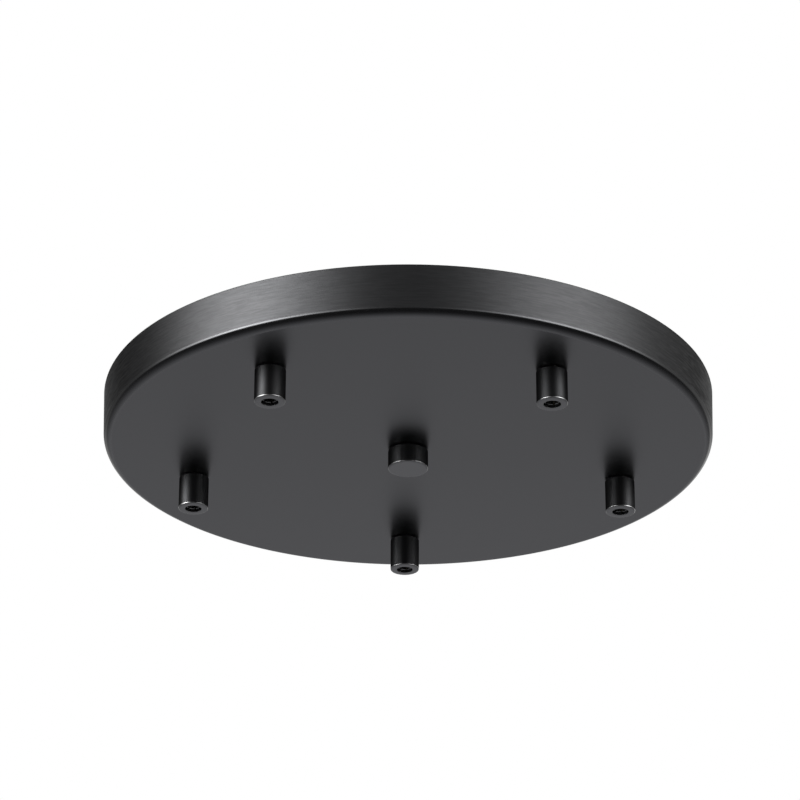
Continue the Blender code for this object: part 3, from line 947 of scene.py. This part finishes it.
# %% Finish of the zinc plated pieces
zinc = Finish("zinc_plated_steel", Metallic=1.0)
spot = zinc.place()
x, y, z = zinc.parts(spot)
cloud = zinc.noise(spot, 140.0, detail=4.0, roughness=0.6)
rolling = zinc.noise(zinc.join(x * 60, y * 2600, z * 2600), 1.0, detail=2.0)
scuff = zinc.noise(zinc.join(x * 900 + y * 700, y * 90 - x * 60, z * 300), 1.0, detail=3.0)
hairs = zinc.step(scuff, 0.66, 0.72)
zinc.set(Base_Color=zinc.mix(cloud, (0.53, 0.55, 0.57, 1), (0.70, 0.71, 0.72, 1)),
         Roughness=0.22 + cloud * 0.16 + (rolling - 0.5) * 0.10 + hairs * 0.08,
         Normal=zinc.bump(rolling * 0.6 + cloud * 0.4 - hairs * 0.5, 0.000010))
print("finish:", zinc.name)

# %% [markdown]
# ### Zinc plated thread
# A thread holds a little more of the yellowish passivation in its roots, and the roots are also
# painted darker as painted shade in the thread's hollows, so the crests are brighter than the
# roots.
# The distance from the axis tells them apart.

# %% Finish of the threads
zinc_thread = Finish("zinc_plated_thread", Metallic=1.0)
radius, height = zinc_thread.axis_place()
cloud = zinc_thread.noise(zinc_thread.place(), 420.0, detail=3.0)
crest_mask = zinc_thread.step(radius, thread_radius - 0.00045, thread_radius - 0.00008)
# painted shade: the roots of the thread are coloured darker than the crests
bare = zinc_thread.mix(crest_mask, (0.30, 0.285, 0.24, 1), (0.64, 0.63, 0.58, 1))
zinc_thread.set(Base_Color=zinc_thread.mix(cloud * 0.35, bare, (0.42, 0.40, 0.34, 1)),
                Roughness=0.42 - crest_mask * 0.14 + (cloud - 0.5) * 0.16,
                Normal=zinc_thread.bump(cloud, 0.000012))
print("finish:", zinc_thread.name)

# %% [markdown]
# ### Green dyed ground screw
# The ground screw is dyed green so that an electrician finds it. The dye lies over bright zinc, and
# it is thinner where the barrel has rubbed it, so the green goes paler and shinier in small
# patches.

# %% Finish of the ground screw
green = Finish("green_ground_screw", Metallic=0.85)
spot = green.place()
rubbed = green.step(green.noise(spot, 900.0, detail=3.0), 0.56, 0.70)
cloud = green.noise(spot, 350.0, detail=2.0)
dyed = green.mix(cloud, (0.010, 0.16, 0.045, 1), (0.025, 0.25, 0.075, 1))
green.set(Base_Color=green.mix(rubbed * 0.6, dyed, (0.16, 0.42, 0.20, 1)),
          Roughness=0.36 - rubbed * 0.10 + (cloud - 0.5) * 0.12,
          Normal=green.bump(cloud + rubbed * 0.3, 0.000010))
print("finish:", green.name)

# %% [markdown]
# ## Dress the frame
# Now each piece gets its finish, rides on the body that moves it, and stands for the plain solid
# that it was modelled over. The stems, nuts and washers stay with the pan. The collet and the
# sleeve of a grip move on their own, because the sleeve unscrews.

# %% Finish, ride and replace
def dress(piece, finish, body, node):
    """Give a piece its finish, its body and the solid that it stands for."""
    piece.data.materials.clear()
    piece.data.materials.append(finish.material)
    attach(piece, body)
    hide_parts(node)


dress(pan, black_steel, "canopy", "canopy_pan")
dress(cap_nut, black_turned, "cap", "cap_nut")
dress(strap, zinc, "bracket", "crossbar")
dress(lock_nut, zinc, "bracket", "stud_lock_nut")
dress(stud, zinc_thread, "bracket", "centre_stud")
dress(ground, green, "bracket", "ground_screw")
for (number, kind), piece in grips.items():
    body = {"sleeve": f"grip_{number}_cover", "collet": f"grip_{number}_clamp"}.get(kind, "canopy")
    finish = {"sleeve": black_turned, "collet": nylon, "stem": zinc_thread}.get(kind, zinc)
    dress(piece, finish, body, f"grip_{number}_{kind}")
print("dressed", 6 + len(grips), "pieces")

# %% [markdown]
# ## Studio
# The photograph is taken from below, with the canopy hung on nothing that shows, against white. The
# black pieces show nothing but what they mirror, so the studio is described by direction, as a dome
# round the canopy. First come the parts of a ray's direction and a tool for a glow from one side.

# %% Directions and glows
world = bpy.data.worlds.new("studio")
bpy.context.scene.world = world
world.use_nodes = True
sky = Tree(world.node_tree)
across, along, up = sky.parts(sky.add("ShaderNodeTexCoord", output="Generated"))
facing = along.math("ARCTAN2", across, along * -1)


def glow(degrees, spread, brightness):
    """Shine from one side, counted from the camera and positive to the right, and fade sideways."""
    away = (facing - math.radians(degrees)) * (1 / math.radians(spread))
    return away.math("EXPONENT", away * away * -1) * brightness


print("dome tools ready")

# %% [markdown]
# Two wide soft lamps stand in front, left and right, a little above the height of the canopy: each
# fades sideways and has a clear lower and upper edge. They draw the two soft highlights on the wall
# and on every sleeve, and the bright line on the pan's round corner ends where their lower edge is
# mirrored. Below the horizon the floor is lit, brightest under the canopy and a little behind it,
# and it fades towards the dark place where the camera stands. That is why the black face looks dark
# grey and even. Its light is a hair cooler than white. Above the horizon the room is dim, a little
# less so in front and at both sides, and it gets bright again far behind the canopy and half bright
# overhead. To the camera itself the dome is plain white.

# %% World
lamps = glow(-58.3, spread=23.5, brightness=23.4) + glow(56.6, spread=25.1, brightness=12.1)
lamps = lamps * sky.step(up, -0.12, 0.07) * sky.step(up, 0.355, 0.395, 1.0, 0.0)
to_floor = along * 0.426 - up * 0.905
floor_pool = 1.17 * to_floor.math("MAXIMUM", to_floor, 0.0) ** 3.35
low_shade = 0.08 + floor_pool + sky.step(along, 0.80, 1.0, 0.0, 0.30)
front = sky.step(along, -0.6, 0.4, 0.29, 0.09)
sides = sky.step(across, 0.2, 0.9, 0.0, 0.20) + sky.step(across, -0.90, -0.60, 0.20, 0.0)
behind = sky.step(along, 0.40, 0.95, 0.0, 0.48)
behind_right = sky.step(along, -0.10, 0.60, 0.0, 0.35) * sky.step(across, 0.1, 0.5)
high_shade = front + sides + behind + behind_right
shade = low_shade + (high_shade - low_shade) * sky.step(up, -0.18, 0.04)
shade = shade + (0.50 - shade) * sky.step(up, 0.55, 0.85) + lamps
paths = sky.add("ShaderNodeLightPath").socket.node
seen = Flow(sky, paths.outputs["Is Camera Ray"]) + Flow(sky, paths.outputs["Is Transmission Ray"])
cool_part = sky.step(up, -0.30, 0.0, 1.0, 0.0) * (1 - seen)
background = sky.nodes["Background"]
sky.feed(background.inputs["Strength"], shade + (1 - shade) * seen)
sky.feed(background.inputs["Color"], sky.mix(cool_part, (1, 1, 1, 1), (0.977, 0.979, 1.023, 1)))
print("world ready")

# %% [markdown]
# The floor is plain and pale, 2.4 m below the ceiling plane as in a room. It is far below the
# canopy, so it takes only a faint shadow. Far out it has a painted glow that brightens it to the
# white of the dome, like a studio sweep, so that no hard horizon cuts the picture. Mirror
# reflections leave it out, because the dome already has a floor of its own for them.

# %% Floor
room_height = 2.4
bpy.ops.object.select_all(action="DESELECT")
bpy.ops.mesh.primitive_plane_add(size=40, location=(0, 0, -room_height))
floor = new_piece("floor")
plaster = Finish("pale_floor", Roughness=0.9, Emission_Strength=0.4)
spot = plaster.place()
x, y, z = plaster.parts(spot)
plaster_cloud = plaster.noise(spot, 0.6, detail=3.0)
# painted glow: the floor emits light that grows towards white far from the canopy
painted_far_glow = plaster.step((x * x + y * y).root(), 4.0, 15.0)
plaster.set(Base_Color=plaster.mix(plaster_cloud, (0.80, 0.80, 0.80, 1), (0.84, 0.84, 0.84, 1)),
            Emission_Color=plaster.mix(painted_far_glow, (0, 0, 0, 1), (1, 1, 1, 1)))
floor.data.materials.append(plaster.material)
floor.visible_glossy = False
print("floor ready")

# %% [markdown]
# ## Camera
# The camera's place was worked out from the photograph: the ellipse of the rim gives how far it
# looks up, and how much larger the near grips look gives how far away it stands. It looks up at 25
# degrees from 1.74 m with a long lens, and it is moved a few millimetres sideways so that the frame
# is the same.

# %% Place the camera
look_up = math.radians(25.2983)
lean = math.radians(0.1247)
turn = math.radians(-0.7101)
distance = 1.73953
shift_right = -0.004094
shift_up = 0.002173
focal_length = 155.715
ahead = Vector((0, math.cos(look_up), math.sin(look_up)))
right = Vector((1, 0, 0))
upward = Vector((0, -math.sin(look_up), math.cos(look_up)))
place = ahead * -distance + right * shift_right + upward * shift_up
right, upward = (right * math.cos(lean) + upward * math.sin(lean),
                 upward * math.cos(lean) - right * math.sin(lean))
pose = Matrix((right, upward, -ahead)).transposed().to_4x4()
pose.translation = place
lens = bpy.data.cameras.new("camera")
lens.lens = focal_length
lens.sensor_width = 36
lens.clip_start = 0.01
camera = bpy.data.objects.new("camera", lens)
bpy.context.scene.collection.objects.link(camera)
camera.matrix_world = Matrix.Rotation(turn, 4, "Z") @ pose
bpy.context.scene.camera = camera
bpy.context.scene.view_settings.view_transform = "Standard"
print("camera at", [round(value, 3) for value in camera.matrix_world.translation])
